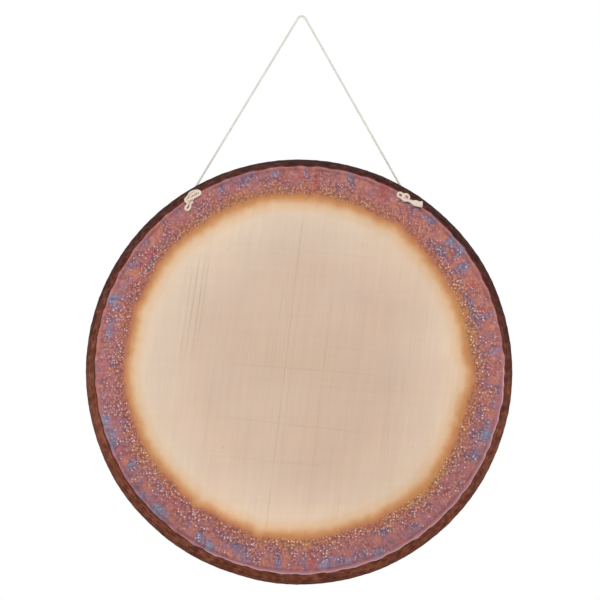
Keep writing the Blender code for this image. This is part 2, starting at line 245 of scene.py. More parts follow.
def endLine(side, edge, way):
    # over the rim, through the hole, and the knot on the front
    turned = math.radians(side * cord["edgeAngle"] - cord["plateTurn"])
    outwards = Vector((math.sin(turned), 0.0, math.cos(turned)))
    along = Vector((side * math.cos(turned), 0.0, -side * math.sin(turned)))
    toPlate = platePlace.inverted()
    starts = (-cord["legStops"], -cord["legStops"] / 2, cord["diameter"] * 0.6)
    route = [toPlate @ (edge + way * start) for start in starts]
    for out, inwards, forwards in rimRun:
        route.append(edgePoint(side) + (along * out - outwards * inwards - Vector((0.0, forwards, 0.0))) * mm)
    rimEnd = route[-1]
    hole = holeCentre(side)
    entry = hole + Vector((0.0, plate["creaseDrop"] + plate["sheet"] + cord["diameter"], 0.0))
    for share in entryShares:
        route.append(rimEnd.lerp(entry, share))
    route.append(entry)
    route.append(hole + Vector((0.0, plate["creaseDrop"], 0.0)))
    for right, up, out in (leftKnot if side < 0 else rightKnot):
        route.append(hole + Vector((right, -out, up)) * mm)
    return smoothLine([platePlace @ point for point in route], cord["ringStep"])


def carryFrames(line):
    # two directions square to the line at each point, carried along it without twist
    ways = np.gradient(line, axis=0)
    ways /= np.linalg.norm(ways, axis=1)[:, None]
    across = np.zeros_like(line)
    last = np.cross(ways[0], (0.0, 1.0, 0.0))
    for number, way in enumerate(ways):
        last = last - way * last.dot(way)
        last /= np.linalg.norm(last)
        across[number] = last
    return across, np.cross(ways, across)


def braidHeight(turn, along):
    first = cord["braidLobes"] * turn + 2 * math.pi * along / cord["braidPitch"]
    second = cord["braidLobes"] * turn - 2 * math.pi * along / cord["braidPitch"]
    return np.sqrt(np.abs(np.cos(first) * np.cos(second)))


def braidRings(line, radii, smoothness):
    # rings of vertices round the line: the braid's strands stand out, and fade where it is melted smooth
    across, upright = carryFrames(line)
    reach = np.concatenate([[0.0], np.cumsum(np.linalg.norm(np.diff(line, axis=0), axis=1))])
    turn = 2 * math.pi * np.arange(cord["sides"]) / cord["sides"]
    relief = braidHeight(turn[None, :], reach[:, None]) - 0.6
    size = radii[:, None] + cord["braidDepth"] * relief * smoothness[:, None]
    spokes = (across[:, None, :] * np.cos(turn)[None, :, None]
              + upright[:, None, :] * np.sin(turn)[None, :, None])
    return line[:, None, :] + spokes * size[:, :, None]


def tubeMesh(name, rings):
    count, sides, _ = rings.shape
    faces = []
    for ring in range(count - 1):
        for step in range(sides):
            after = (step + 1) % sides
            faces.append((ring * sides + step, ring * sides + after,
                          (ring + 1) * sides + after, (ring + 1) * sides + step))
    faces.append(tuple(range(sides))[::-1])
    faces.append(tuple((count - 1) * sides + step for step in range(sides)))
    data = bpy.data.meshes.new(name)
    data.from_pydata(rings.reshape(-1, 3).tolist(), [], faces)
    data.update()
    return data


def addPiece(name, data, material):
    piece = bpy.data.objects.new(name, data)
    piece.data.materials.append(material)
    bpy.context.scene.collection.objects.link(piece)
    data.shade_smooth()
    return piece


def domeEnd(line, radii, roundness):
    # closes the line's last point with a dome
    way = line[-1] - line[-2]
    way /= np.linalg.norm(way)
    tipRadius = radii[-1]
    angles = np.radians(np.linspace(12, 80, 7))
    tips = line[-1] + way * (tipRadius * roundness * np.sin(angles))[:, None]
    return np.vstack([line, tips]), np.concatenate([radii, tipRadius * np.cos(angles)])


def cutPiece(name, rings, reach, fromReach, toReach, material):
    first, last = np.searchsorted(reach, (fromReach, toReach))
    piece = addPiece(name, tubeMesh(name, rings[first:last + 1]), material)
    piece.data.set_sharp_from_angle(angle=math.radians(60))
    return piece, first, min(last, len(rings) - 1)


def buildCord(side, material, knotMaterial):
    sideName = sideNames[side]
    node = sideName.lower()
    edge = platePlace @ edgePoint(side)
    leg, way = hookLine(side, edge)
    end = endLine(side, edge, way)
    line = np.vstack([leg, end[1:]])
    hole = np.array(platePlace @ holeCentre(side))
    atHole = len(leg) + int(np.argmin(np.linalg.norm(line[len(leg):] - hole, axis=1)))
    radii = np.full(len(line), cord["diameter"] / 2)
    past = np.clip((np.arange(len(line)) - atHole) / 8, 0, 1)
    radii += past * cord["knotSwell"] / 2
    smoothness = np.ones(len(line))
    toTip = (len(line) - 1 - np.arange(len(line))) * cord["ringStep"]
    if side > 0:
        melted = np.clip((tail["length"] - toTip) / tail["rise"], 0, 1)
        melted = melted * melted * (3 - 2 * melted)
        pinch = np.exp(-((toTip - tail["pinchAt"]) / tail["pinchWidth"]) ** 2)
        radii *= (1 + (tail["spread"] - 1) * melted) * (1 - tail["pinch"] * pinch)
        smoothness = 1 - 0.9 * np.clip(melted * 3, 0, 1)
    else:
        smoothness = 1 - 0.8 * np.clip(1 - toTip / (2 * mm), 0, 1)
    line, radii = domeEnd(line, radii, tail["roundness"] if side > 0 else cord["endRoundness"])
    grown = len(line) - len(smoothness)
    smoothness = np.concatenate([smoothness, np.full(grown, smoothness[-1])])
    reach = np.concatenate([[0.0], np.cumsum(np.linalg.norm(np.diff(line, axis=0), axis=1))])
    rings = braidRings(line, radii, smoothness)
    if side > 0:
        rings = flattenTail(rings, line, np.concatenate([melted, np.full(grown, melted[-1])]))

    topEnd, neckEnd = joints["topEnd"], joints["neckEnd"]
    legEnd = reach[len(leg) - 1] + cord["legStops"] / 2
    pieces = {}
    top, first, last = cutPiece(f"cordTop{sideName}", rings, reach, 0.0, topEnd, material)
    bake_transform(top)
    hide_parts("cord_over_hook", f"cord_bend_{node}")
    neck, _, _ = cutPiece(f"cordNeck{sideName}", rings, reach, topEnd, neckEnd, material)
    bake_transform(neck)
    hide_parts(f"cord_neck_{node}")
    legPiece, first, last = cutPiece(f"cordLeg{sideName}", rings, reach, neckEnd, legEnd, material)
    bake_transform(legPiece)
    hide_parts(f"cord_leg_{node}")
    run, _, _ = cutPiece(f"cordRun{sideName}", rings, reach, legEnd, reach[atHole], material)
    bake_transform(run)
    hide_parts(f"cord_end_{node}")
    knot, _, _ = cutPiece(f"knot{sideName}", rings, reach, reach[atHole], reach[-1], knotMaterial)
    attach(knot, "gong")
    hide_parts(f"cord_end_{node}")


tail = {
    "length": 19 * mm,         # the melted end of the right knot
    "rise": 11 * mm,           # it widens along this much of it
    "spread": 2.6,
    "flatness": 0.66,
    "ridges": 0.05,            # uneven ridges along it, as a share of its radius
    "pinch": 0.09,             # a shallow waist between its two lumps
    "pinchAt": 5.2 * mm,
    "pinchWidth": 1.5 * mm,
    "roundness": 0.25,         # its tip is nearly flat
}

joints = {
    "topEnd": 4.2 * mm,        # along the cord from its top, where one piece gives way to the next
    "neckEnd": 8.0 * mm,
    "inset": 0.6 * mm,
    "swingBend": 4.0 * mm,
    "tiltBend": 8.0 * mm,
}


def flattenTail(rings, line, melted):
    faceWay = np.array(platePlace.to_3x3() @ Vector((0.0, -1.0, 0.0)))
    offset = rings - line[:, None, :]
    proud = offset @ faceWay
    offset -= (proud * (1 - tail["flatness"]) * melted[:, None])[:, :, None] * faceWay
    turn = np.arange(rings.shape[1]) / rings.shape[1] * 2 * math.pi
    along = np.arange(len(line)) * cord["ringStep"] / tail["length"]
    peenShade = 1 + melted[:, None] * tail["ridges"] * (np.sin(4 * turn + 9 * along[:, None])
                                                    + 0.6 * np.sin(7 * turn - 23 * along[:, None]))
    return line[:, None, :] + offset * peenShade[:, :, None]


def srgb(red, green, blue):
    # a colour as it looks on screen, turned into what a shader socket takes
    return tuple((value / 255 / 12.92) if value < 11 else ((value / 255 + 0.055) / 1.055) ** 2.4
                 for value in (red, green, blue)) + (1.0,)


class Nodes:
    # a short way to add and join shader nodes
    def __init__(self, material):
        self.tree = material.node_tree
        self.shader = self.tree.nodes["Principled BSDF"]
        self.count = 0

    def add(self, kind, values=(), **settings):
        made = self.tree.nodes.new(kind)
        made.location = (-220 * (self.count % 9) - 300, 260 * (self.count // 9) - 600)
        self.count += 1
        for name, value in settings.items():
            setattr(made, name, value)
        for name, value in dict(values).items():
            self.give(made.inputs[name], value)
        return made

    def give(self, socket, value):
        # a link where it is a node's output, and else a plain value
        if isinstance(value, bpy.types.NodeSocket):
            self.tree.links.new(value, socket)
        else:
            socket.default_value = value

    def place(self):
        return self.add("ShaderNodeTexCoord").outputs["Object"]

    def split(self, vector):
        return self.add("ShaderNodeSeparateXYZ", {0: vector}).outputs

    def math(self, operation, first, second=0.0, third=0.0, clamp=False):
        made = self.add("ShaderNodeMath", {0: first, 1: second, 2: third}, operation=operation, use_clamp=clamp)
        return made.outputs[0]

    def scaled(self, vector, scale):
        return self.add("ShaderNodeVectorMath", {0: vector, 1: scale}, operation="MULTIPLY").outputs[0]

    def noise(self, vector, scale, detail=3.0, roughness=0.55, distortion=0.0):
        values = {"Vector": vector, "Scale": scale, "Detail": detail, "Roughness": roughness, "Distortion": distortion}
        return self.add("ShaderNodeTexNoise", values).outputs["Fac"]

    def fit(self, value, low, high, newLow=0.0, newHigh=1.0):
        values = {0: value, 1: low, 2: high, 3: newLow, 4: newHigh}
        return self.add("ShaderNodeMapRange", values, interpolation_type="SMOOTHSTEP").outputs[0]

    def ramp(self, value, stops):
        made = self.add("ShaderNodeValToRGB", {0: value})
        bar = made.color_ramp
        for number, (where, colour) in enumerate(stops):
            stop = bar.elements[number] if number < 2 else bar.elements.new(where)
            stop.position = where
            stop.color = srgb(*colour)
        return made.outputs["Color"]

    def mix(self, share, first, second, kind="MIX"):
        made = self.add("ShaderNodeMix", data_type="RGBA", blend_type=kind)
        self.give(made.inputs[0], share)
        self.give(made.inputs[6], srgb(*first) if isinstance(first, tuple) else first)
        self.give(made.inputs[7], srgb(*second) if isinstance(second, tuple) else second)
        return made.outputs[2]

    def fitLine(self, value, low, high, newLow=0.0, newHigh=1.0):
        return self.add("ShaderNodeMapRange", {0: value, 1: low, 2: high, 3: newLow, 4: newHigh}).outputs[0]

    def grey(self, value):
        return self.add("ShaderNodeCombineColor", {0: value, 1: value, 2: value}).outputs[0]

    def length(self, vector):
        return self.add("ShaderNodeVectorMath", {0: vector}, operation="LENGTH").outputs["Value"]

    def cells(self, vector, scale):
        made = self.add("ShaderNodeTexVoronoi", {"Vector": vector, "Scale": scale}, voronoi_dimensions="2D")
        draws = self.split(made.outputs["Color"])
        return made.outputs["Distance"], draws[0], draws[1]

    def stroke(self, flat, right, up, length, angle, width, strength):
        # one straight mark, fading at its ends and sides
        turned = math.radians(angle)
        off = self.add("ShaderNodeVectorMath", {0: flat, 1: (right * mm, up * mm, 0.0)}, operation="SUBTRACT").outputs[0]
        sides = []
        for way in ((math.cos(turned), math.sin(turned), 0.0), (-math.sin(turned), math.cos(turned), 0.0)):
            reach = self.add("ShaderNodeVectorMath", {0: off, 1: way}, operation="DOT_PRODUCT").outputs["Value"]
            sides.append(self.math("ABSOLUTE", reach))
        ends = self.fit(sides[0], length * 0.5 * mm, length * 0.3 * mm)
        return self.math("MULTIPLY", ends, self.fit(sides[1], width * 0.5 * mm, 0.0, 0.0, strength))

    def stored(self, name):
        return self.add("ShaderNodeAttribute", attribute_name=name).outputs["Fac"]

    def bump(self, height, distance, strength=1.0, under=None):
        values = {"Height": height, "Distance": distance, "Strength": strength}
        if under:
            values["Normal"] = under
        return self.add("ShaderNodeBump", values).outputs["Normal"]

    def end(self, **sockets):
        for name, value in sockets.items():
            self.give(self.shader.inputs[name], value)


def seenRays(tree):
    # 1 for what the camera sees, straight or in a mirror or through glass
    path = tree.nodes.new("ShaderNodeLightPath")
    seen = path.outputs["Is Camera Ray"]
    for kind in ("Is Glossy Ray", "Is Transmission Ray"):
        either = tree.nodes.new("ShaderNodeMath")
        either.operation = "MAXIMUM"
        tree.links.new(seen, either.inputs[0])
        tree.links.new(path.outputs[kind], either.inputs[1])
        seen = either.outputs[0]
    return seen


def newMaterial(name):
    material = bpy.data.materials.new(name)
    material.use_nodes = True
    return material, Nodes(material)


def braidMaterial(name, soiled, clean, shadow):
    material, nodes = newMaterial(name)
    place = nodes.place()
    soiling = nodes.noise(place, 60.0, 4.0)
    fibres = nodes.noise(place, 2600.0, 2.0)
    colour = nodes.ramp(nodes.fit(soiling, 0.3, 0.7), [(0.0, soiled), (1.0, clean)])
    colour = nodes.mix(nodes.fit(fibres, 0.35, 0.7, 0.0, 0.22), colour, shadow)
    nodes.end(**{"Base Color": colour, "Roughness": 0.82,
                 "Normal": nodes.bump(fibres, 0.15 * mm, 0.5)})
    nodes.shader.inputs["Sheen Weight"].default_value = 0.15
    return material


tint = {
    "middle": (-3.2, 3.9),     # mm right and up from the plate's middle, where the heat rings centre
    "rings": [                 # colour by distance from there, in mm
        (0, (212, 187, 165)),
        (140, (214, 189, 168)),
        (195, (222, 199, 177)),
        (215, (227, 203, 178)),
        (227.5, (225, 191, 154)),
        (232.5, (217, 172, 131)),
        (236.6, (204, 150, 104)),
        (240, (194, 133, 88)),
        (243.5, (181, 116, 82)),
        (248, (170, 106, 88)),
    ],
    "edge": [                  # where the rings reach further out or less: angle, mm, degrees wide
        (357.5, 7.8, 5.5), (320, 4.2, 14), (186, 1.8, 9), (222, -2.6, 14), (241, -3.4, 6), (285, -1.6, 9),
        (150, -1.6, 6), (134, 1.6, 9), (56, 4.0, 3), (233.5, 3.4, 1.8), (256.5, 5.0, 2.4), (160.5, 2.2, 1.4),
        (8, -2.2, 4), (100, 2.0, 9), (205, 1.6, 4), (127, -1.6, 6), (170, -1.8, 6),
    ],
    "mottle": [(0.0, (196, 130, 102)), (0.3, (184, 119, 105)), (0.55, (174, 112, 108)), (0.78, (160, 108, 116)),
               (1.0, (146, 106, 126))],
    "gold": (198, 144, 82),
    "goldAt": [(15, 0.9, 14), (318, 0.8, 16), (268, 0.6, 12), (212, 0.5, 8), (345, 0.4, 10), (75, 0.4, 12), (115, 0.6, 25)],
    "bloom": [(0.0, (154, 116, 128)), (0.35, (142, 120, 142)), (0.7, (132, 130, 154)), (1.0, (124, 148, 174))],
    "red": (174, 84, 84),
    # painted shade between the peening marks
    "plum": (84, 44, 52),
    "outer": (164, 112, 116),
    # where along the crease the painted highlight shows: angle, strength, degrees wide
    "creaseSheen": [(272, 1.0, 36), (325, 1.0, 30), (355, 0.6, 12)],
    "patches": [               # where the heat turned it blue: angle, mm from the middle, degrees wide, mm, strength
        (5.4, 273, 1.0, 10, 0.5), (16.7, 273, 0.8, 12, 0.5), (20.4, 257, 3.6, 5, 0.6), (32.9, 276, 1.1, 10, 0.9),
        (37.2, 283, 1.7, 7, 0.9), (41.4, 284, 1.0, 9, 1.0), (40.4, 259, 2.6, 5, 0.65), (49.4, 282, 1.4, 6, 0.6),
        (58.4, 280, 3.0, 4, 0.35), (75.8, 280, 1.0, 6, 0.7), (88.8, 279, 0.8, 6, 0.5), (97.1, 280, 1.0, 8, 0.7),
        (106.8, 279, 1.7, 6, 0.5), (114.1, 277, 1.3, 6, 0.7), (128.3, 285, 1.4, 6, 0.4), (140.3, 280, 1.1, 6, 0.5),
        (144.8, 257, 2.6, 4, 0.7), (149.3, 280, 1.5, 6, 0.5), (159.6, 280, 1.5, 8, 0.95), (169.3, 275, 2.8, 6, 0.6),
        (178.3, 260, 1.2, 5, 0.6), (195.8, 283, 1.7, 10, 0.6), (201.8, 282, 2.4, 7, 0.9), (195.3, 257, 2.8, 4, 0.5),
        (210.3, 267, 1.2, 9, 0.6), (218.3, 285, 2.0, 6, 0.9), (224.8, 282, 2.3, 7, 0.9), (239.8, 276, 1.2, 10, 0.8),
        (243.8, 283, 1.6, 7, 0.9), (250.8, 266, 2.6, 7, 0.7), (264.1, 273, 1.0, 12, 0.7), (278.8, 276, 2.5, 8, 0.8),
        (285.3, 279, 1.4, 6, 0.7), (293.3, 283, 1.8, 6, 0.75), (298.3, 256, 2.0, 5, 0.8), (306.8, 277, 1.5, 6, 0.7),
        (324.9, 277, 1.3, 6, 0.5), (334.9, 275, 1.8, 6, 0.6), (341.9, 280, 2.2, 9, 0.9), (349.9, 279, 1.2, 5, 0.6),
        (354.4, 281, 1.1, 6, 0.6),
    ],
    # the painted glints on the peening marks
    "glint": (252, 220, 206),
    # the painted highlight on the crease
    "creaseHighlight": (206, 160, 164),
    "scale": (84, 40, 34),
    "cellSize": 4.1,           # mm between the small peening marks
    # painted shade in the grinding marks and dents
    "grooveShadow": (150, 118, 92),
    "grooveLean": 0.11,
    "grooves": [               # grinding marks: mm across at mid height, lowest, highest, width, strength, lean
        (-170.7, 22, 135, 2.2, 0.6, 0.133), (-163.6, 25, 155, 2.3, 0.95, 0.138), (-154.8, 25, 155, 2.2, 0.75, 0.133),
        (-148.8, 35, 155, 2.0, 0.5, 0.133), (-20.5, -225, 225, 1.9, 0.65, 0.11), (-12, -110, 120, 1.6, 0.35, 0.11),
        (-28, -225, 205, 1.5, 0.25, 0.16), (-37.6, -5, 120, 1.8, 0.4, 0.12), (-49, 0, 190, 1.6, 0.3, 0.12),
        (33.5, -215, 110, 1.9, 0.42, 0.105), (75.5, -205, -95, 1.7, 0.4, 0.1), (127, -115, 30, 1.6, 0.35, 0.02),
        (-107, -5, 105, 1.6, 0.28, 0.09), (-121, -115, -5, 1.8, 0.25, 0.12), (98, -160, 60, 1.5, 0.2, 0.11),
    ],
    "marks": [                 # small dents and lines: mm right and up from the middle, length, angle, width, strength
        (5, 1, 250, -4, 4.0, 0.3), (-4, -78, 250, -6, 4.0, 0.32), (28, 166, 190, -5, 3.5, 0.22), (10, -20, 300, -7, 3.0, 0.18),
        (-50, -128, 200, -5, 3.5, 0.2), (75, 30, 110, -6, 3.0, 0.2), (-110, 33, 130, -1, 3.0, 0.15), (-70, 70, 150, 0, 2.5, 0.15),
        (-103, 170, 9, 20, 1.6, 0.9), (-123, 166, 3, 0, 1.8, 0.8), (-102, 222, 7, 35, 1.5, 0.7), (-107, -110, 9, 38, 2.0, 0.9),
        (-1.5, -160, 4, 0, 2.2, 0.6), (128, -155, 4, 60, 2.0, 0.7), (160, -107, 8, 95, 1.5, 0.7), (175, -132, 14, 52, 1.5, 0.6),
        (37, -208, 3, 0, 1.8, 0.6), (86, 178, 8, -45, 1.4, 0.5), (-13, 192, 24, 28, 1.3, 0.35),
    ],
    "rim": [(0.0, (46, 14, 8)), (0.35, (86, 38, 26)), (0.65, (122, 64, 46)), (1.0, (158, 94, 68))],
    "handledCordAndShadedSquare": (-133, 131, -190, 10, 0.02),        # a square of painted shade in the middle: left, right, low, high, how much
    "back": [(0.0, (70, 42, 30)), (0.5, (108, 70, 48)), (1.0, (136, 94, 62))],
}

outline = [               # where the hand-turned rim strays from round: angle, mm, width in degrees
    (213, 1.1, 10), (252, -1.1, 8), (30, 0.7, 8), (60, 0.6, 5), (294, 0.6, 7), (120, -0.4, 8), (340, -0.4, 8),
]


def around(angle, middle, width):
    # 1 at the middle, falling off over the width, by the shorter way round
    away = np.abs((angle - middle + 180) % 360 - 180)
    return np.exp(-(away / width) ** 2)


def sheetOutline():
    # rings from the middle of the face over the fold to the rim's edge: radius, depth, spokes, zone
    crease = np.array((creaseRadius, plate["creaseDrop"]))
    faceWay = np.array((plate["bandWidth"], 2 * plate["creaseDrop"]))
    faceWay /= np.linalg.norm(faceWay)
    rimWay = np.array((plate["rimFlare"], plate["rimDepth"] - plate["creaseDrop"]))
    rimLength = np.linalg.norm(rimWay)
    rimWay /= rimLength
    turn = math.acos(faceWay @ rimWay)
    setBack = plate["foldRadius"] * math.tan(turn / 2)
    foldStart = crease - faceWay * setBack
    foldCentre = foldStart + np.array((-faceWay[1], faceWay[0])) * plate["foldRadius"]
    rings = []
    foldShares = {}
    radius = 9 * mm
    for outTo, step, fewer in ((54 * mm, 9 * mm, 8), (114 * mm, 7 * mm, 4), (groundRadius - 4 * mm, 6.5 * mm, 2)):
        while radius < outTo:
            rings.append((radius, 0.0, plate["spokes"] // fewer, "centre"))
            radius += step
    for number in range(plate["bandRings"]):
        share = number / plate["bandRings"]
        radius = groundRadius + (foldStart[0] - groundRadius) * share
        rings.append((radius, foldStart[1] * share * share, plate["spokes"], "band"))
    arm = foldStart - foldCentre
    for number in range(7):
        angle = turn * number / 6
        cos, sin = math.cos(angle), math.sin(angle)
        point = foldCentre + np.array((cos * arm[0] - sin * arm[1], sin * arm[0] + cos * arm[1]))
        rings.append((*point, plate["spokes"], "fold"))
        foldShares[len(rings) - 1] = number / 6
    count = 12
    for number in range(1, count + 1):
        share = number / count
        along = setBack + (rimLength - setBack) * share
        bow = plate["rimBow"] * 4 * share * (1 - share)
        point = crease + rimWay * along + np.array((rimWay[1], -rimWay[0])) * bow
        rings.append((*point, plate["spokes"], "rim"))
        foldShares[len(rings) - 1] = 1.0
    return rings, foldShares


def outwardWays(points):
    ways = np.gradient(points, axis=0)
    ways /= np.linalg.norm(ways, axis=1)[:, None]
    return np.stack([ways[:, 1], -ways[:, 0]], axis=1)


def scatterMarks(rows, pitch, seed):
    # hammer marks in rows round the plate, each a little off its place
    draw = random.Random(seed)
    marks = []
    for radius, depth in rows:
        count = round(2 * math.pi * radius / pitch)
        start = draw.random()
        for number in range(count):
            angle = 2 * math.pi * (number + start + draw.uniform(-0.28, 0.28)) / count
            strayed = radius + draw.uniform(-0.28, 0.28) * pitch
            marks.append((strayed * math.sin(angle), depth + draw.uniform(-0.1, 0.1) * pitch, strayed * math.cos(angle)))
    tree = KDTree(len(marks))
    for number, mark in enumerate(marks):
        tree.insert(mark, number)
    tree.balance()
    return tree, np.array([draw.random() for _ in marks])


def nearestMark(tree, points):
    found = [tree.find(point) for point in points]
    return np.array([hit[2] for hit in found]), np.array([hit[1] for hit in found])


def slowWaves(x, z, seed, longest, count=7):
    # gentle unevenness of the sheet, between -1 and 1
    draw = random.Random(seed)
    total = np.zeros_like(x)
    for _ in range(count):
        heading = draw.uniform(0, 2 * math.pi)
        length = longest * draw.uniform(0.35, 1.0)
        total += np.sin((x * math.cos(heading) + z * math.sin(heading)) * 2 * math.pi / length
                        + draw.uniform(0, 2 * math.pi))
    return total / math.sqrt(count)


def plateMesh():
    outer, foldShares = sheetOutline()
    outerPoints = np.array([(radius, depth) for radius, depth, _, _ in outer])
    ways = outwardWays(outerPoints)
    flat = [number for number, ring in enumerate(outer) if ring[3] == "centre"]
    ways[flat] = (0.0, -1.0)
    innerPoints = outerPoints - ways * plate["sheet"]
    rings = []
    for number, (radius, depth, spokes, zone) in enumerate(outer[:-1]):
        rings.append((radius, depth, ways[number], spokes, zone))
    last, lastWay = outerPoints[-1], ways[-1]
    along = np.array((-lastWay[1], lastWay[0]))
    chamfer = 0.35 * mm
    rings.append((*(last - along * chamfer), lastWay, plate["spokes"], "rim"))
    for share in (chamfer, plate["sheet"] - chamfer):
        point = last - lastWay * share
        point[1] = plate["rimDepth"]
        rings.append((*point, np.array((0.0, 1.0)), plate["spokes"], "edge"))
    inner = []
    for number in range(len(outer)):
        radius, depth, spokes, zone = outer[number]
        point = innerPoints[number]
        if number == len(outer) - 1:
            point = point - along * chamfer
        if zone == "band" and number % 3:
            continue
        if zone in ("fold", "rim") and number % 2 and number != len(outer) - 1:
            continue
        if zone == "centre" and number % 2:
            continue
        inner.append((*point, -ways[number], min(spokes, plate["spokes"] // 2), zone + "Back"))
    rings += inner[::-1]

    vertices = []
    starts = []
    zones = []
    total = 0
    for radius, depth, way, spokes, zone in rings:
        angle = 2 * math.pi * np.arange(spokes) / spokes
        ring = np.zeros((spokes, 6))
        ring[:, 0] = radius
        ring[:, 1] = depth
        ring[:, 2] = angle
        ring[:, 3:5] = way
        vertices.append(ring)
        zones += [zone] * spokes
        starts.append(total)
        total += spokes
    table = np.vstack(vertices)
    across = np.ones(total)
    for number in range(len(outer) - 1):
        across[starts[number]:starts[number] + rings[number][3]] = foldShares.get(number, 0.0)
    faces = [tuple(range(rings[0][3]))[::-1]]
    for number in range(len(rings) - 1):
        first, second = starts[number], starts[number + 1]
        firstCount, secondCount = rings[number][3], rings[number + 1][3]
        coarse = min(firstCount, secondCount)
        for step in range(coarse):
            a = [first + (step * firstCount // coarse + extra) % firstCount for extra in range(firstCount // coarse + 1)]
            b = [second + (step * secondCount // coarse + extra) % secondCount for extra in range(secondCount // coarse + 1)]
            faces.append(tuple(a + b[::-1]))
    faces.append(tuple(starts[-1] + step for step in range(rings[-1][3])))
    return table, np.array(zones), across, faces


def shapePlate(table, zones):
    radius, depth, angle = table[:, 0], table[:, 1], table[:, 2]
    x, z = radius * np.sin(angle), radius * np.cos(angle)
    seen = (90 - np.degrees(angle)) % 360          # counter-clockwise from the right, as in the picture
    lift = np.zeros(len(table))
    hollow = np.zeros(len(table))                  # low in the middle of each hammer mark, high between them
    isBack = np.char.endswith(zones, "Back")
    lift += np.where(isBack, -1, 1) * 0.22 * mm * slowWaves(x, z, plate["seed"], 190 * mm) * np.clip((290 * mm - radius) / (60 * mm), 0, 1)

    bandRows = [(r, 0.6 * mm) for r in np.arange(groundRadius - 5 * mm, creaseRadius - 2 * mm, plate["peenPitch"] * 0.87)]
    peenTree, peenDraw = scatterMarks(bandRows, plate["peenPitch"], plate["seed"])
    onBand = np.isin(zones, ("band", "fold")) | ((zones == "centre") & (radius > groundRadius - 12 * mm))
    places = np.stack([x, np.full_like(x, 0.6 * mm), z], axis=1)[onBand]
    away, which = nearestMark(peenTree, places)
    fade = np.clip((radius[onBand] - groundRadius + 6 * mm) / (8 * mm), 0, 1) * np.clip((creaseRadius + 1 * mm - radius[onBand]) / (10 * mm), 0.25, 1)
    dish = np.minimum(away / (0.52 * plate["peenPitch"]), 1.15) ** 2 - 0.45
    lift[onBand] += plate["peenDepth"] * (0.6 + 0.6 * peenDraw[which]) * dish * fade

    rimRows = [(creaseRadius + depthAt * 0.29, depthAt) for depthAt in np.arange(1 * mm, 44 * mm, plate["facetPitch"] * 0.85)]
    facetTree, facetDraw = scatterMarks(rimRows, plate["facetPitch"], plate["seed"] + 1)
    onRim = np.isin(zones, ("fold", "rim", "foldBack", "rimBack")) | (np.isin(zones, ("band", "bandBack")) & (radius > creaseRadius - 9 * mm))
    places = np.stack([x, depth, z], axis=1)[onRim]
    away, which = nearestMark(facetTree, places)
    dish = np.minimum(away / (0.55 * plate["facetPitch"]), 1.2) ** 2 - 0.45
    nearEdge = np.clip((plate["rimDepth"] - depth[onRim]) / (12 * mm), 0.45, 1)
    inwards = np.clip((radius[onRim] - creaseRadius + 9 * mm) / (8 * mm), 0, 1)
    way = np.where(isBack[onRim], -0.8, 1.0)
    lift[onRim] += way * plate["facetDepth"] * (0.5 + 0.7 * facetDraw[which]) * dish * nearEdge * inwards
    hollow[onRim] = dish * (0.4 + 0.8 * facetDraw[which]) * inwards

    backTree, backDraw = scatterMarks([(r, 3 * mm) for r in np.arange(20 * mm, creaseRadius - 4 * mm, 17 * mm)], 19 * mm, plate["seed"] + 2)
    onBack = np.isin(zones, ("centreBack", "bandBack"))
    places = np.stack([x, np.full_like(x, 3 * mm), z], axis=1)[onBack]
    away, which = nearestMark(backTree, places)
    dish = np.minimum(away / (10.5 * mm), 1.2) ** 2 - 0.45
    lift[onBack] += 0.22 * mm * (0.5 + 0.7 * backDraw[which]) * dish
    hollow[onBack] = dish * (0.3 + 0.9 * backDraw[which])

    stray = np.zeros(len(table))
    draw = random.Random(plate["seed"] + 3)
    blows = round(2 * math.pi * creaseRadius / plate["scallopPitch"])
    blowAngles = np.array([(number + draw.uniform(-0.3, 0.3)) * 360 / blows for number in range(blows)])
    blowHeights = np.array([draw.uniform(0.4, 1.0) * (1 if number % 2 else -1) for number in range(blows)])
    waver = np.interp(seen, blowAngles, blowHeights, period=360)
    waver = np.sin(waver * math.pi / 2) * np.exp(-((radius - creaseRadius) / (6 * mm)) ** 2) * np.exp(-(depth / (12 * mm)) ** 2)
    for middle, amount, width in outline:
        stray += amount * mm * around(seen, middle, width)
    for side in (-1, 1):
        cordAt = 90 - (side * cord["edgeAngle"] - cord["plateTurn"])
        stray *= 1 - around(seen, cordAt, 7)
        nearCord = around(seen, cordAt, 3.5) * (radius > creaseRadius - 12 * mm)
        lift *= 1 - 0.85 * nearCord
        waver *= 1 - around(seen, cordAt, 6)
    stray *= np.clip((radius - groundRadius) / (creaseRadius - groundRadius), 0, 1)
    radius = radius + table[:, 3] * lift + stray + waver * plate["scallop"]
    depth = depth + table[:, 4] * lift
    return np.stack([radius * np.sin(angle), depth, radius * np.cos(angle)], axis=1), hollow


def drillHoles(piece):
    for side in (-1, 1):
        where = holeCentre(side)
        bpy.ops.mesh.primitive_cylinder_add(vertices=28, radius=2.2 * mm, depth=12 * mm)
        cutter = bpy.context.object
        cutter.data.transform(Matrix.Rotation(math.pi / 2, 4, "X"))
        cutter.data.transform(Matrix.Translation((where.x, plate["creaseDrop"], where.z)))
        cut = piece.modifiers.new("hole", "BOOLEAN")
        cut.operation = "DIFFERENCE"
        cut.solver = "EXACT"
        cut.object = cutter
    shown = piece.evaluated_get(bpy.context.evaluated_depsgraph_get())
    drilled = bpy.data.meshes.new_from_object(shown)
    for cut in list(piece.modifiers):
        bpy.data.objects.remove(cut.object)
        piece.modifiers.remove(cut)
    piece.data = drilled


def storeValues(data, name, values):
    stored = data.attributes.new(name, "FLOAT", "POINT")
    stored.data.foreach_set("value", np.asarray(values, np.float32))


